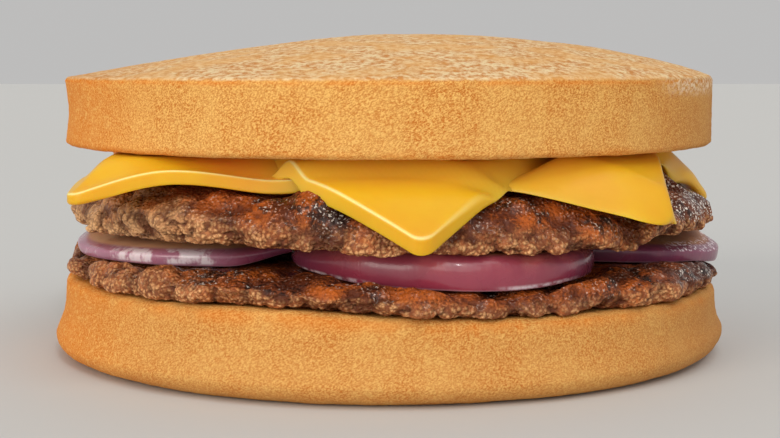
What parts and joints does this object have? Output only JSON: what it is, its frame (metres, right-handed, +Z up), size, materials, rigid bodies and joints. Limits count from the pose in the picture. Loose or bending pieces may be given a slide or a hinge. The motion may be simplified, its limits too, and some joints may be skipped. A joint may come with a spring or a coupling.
{
  "type": "sourdough melt",
  "caption": "Round sourdough melt: toasted bread above and below, beef patties with red onion between them, and melted cheese hanging at the corners.",
  "frame": {"origin": "middle of the flat underside of the lower bread, on the surface that the sandwich stands on", "axes": "+Z up through the layers; -Y is the front, where a corner of the upper cheese slice hangs; +X to the right seen from the front"},
  "size_m": [0.1135, 0.1135, 0.0529],
  "materials": {
    "bread": "toasted, matte and finely pitted",
    "beef": "seared mince, moist and craggy",
    "cheese": "smooth, softly melted",
    "red_onion": "wet and glossy"
  },
  "bodies": {
    "root": {"bread_bottom": "bread", "bread_top": "bread", "patty_lower": "beef", "patty_upper": "beef", "onion_left": "red_onion", "onion_front": "red_onion", "onion_right": "red_onion", "onion_back": "red_onion", "cheese_lower": "cheese", "cheese_upper": "cheese"}
  },
  "joints": []
}
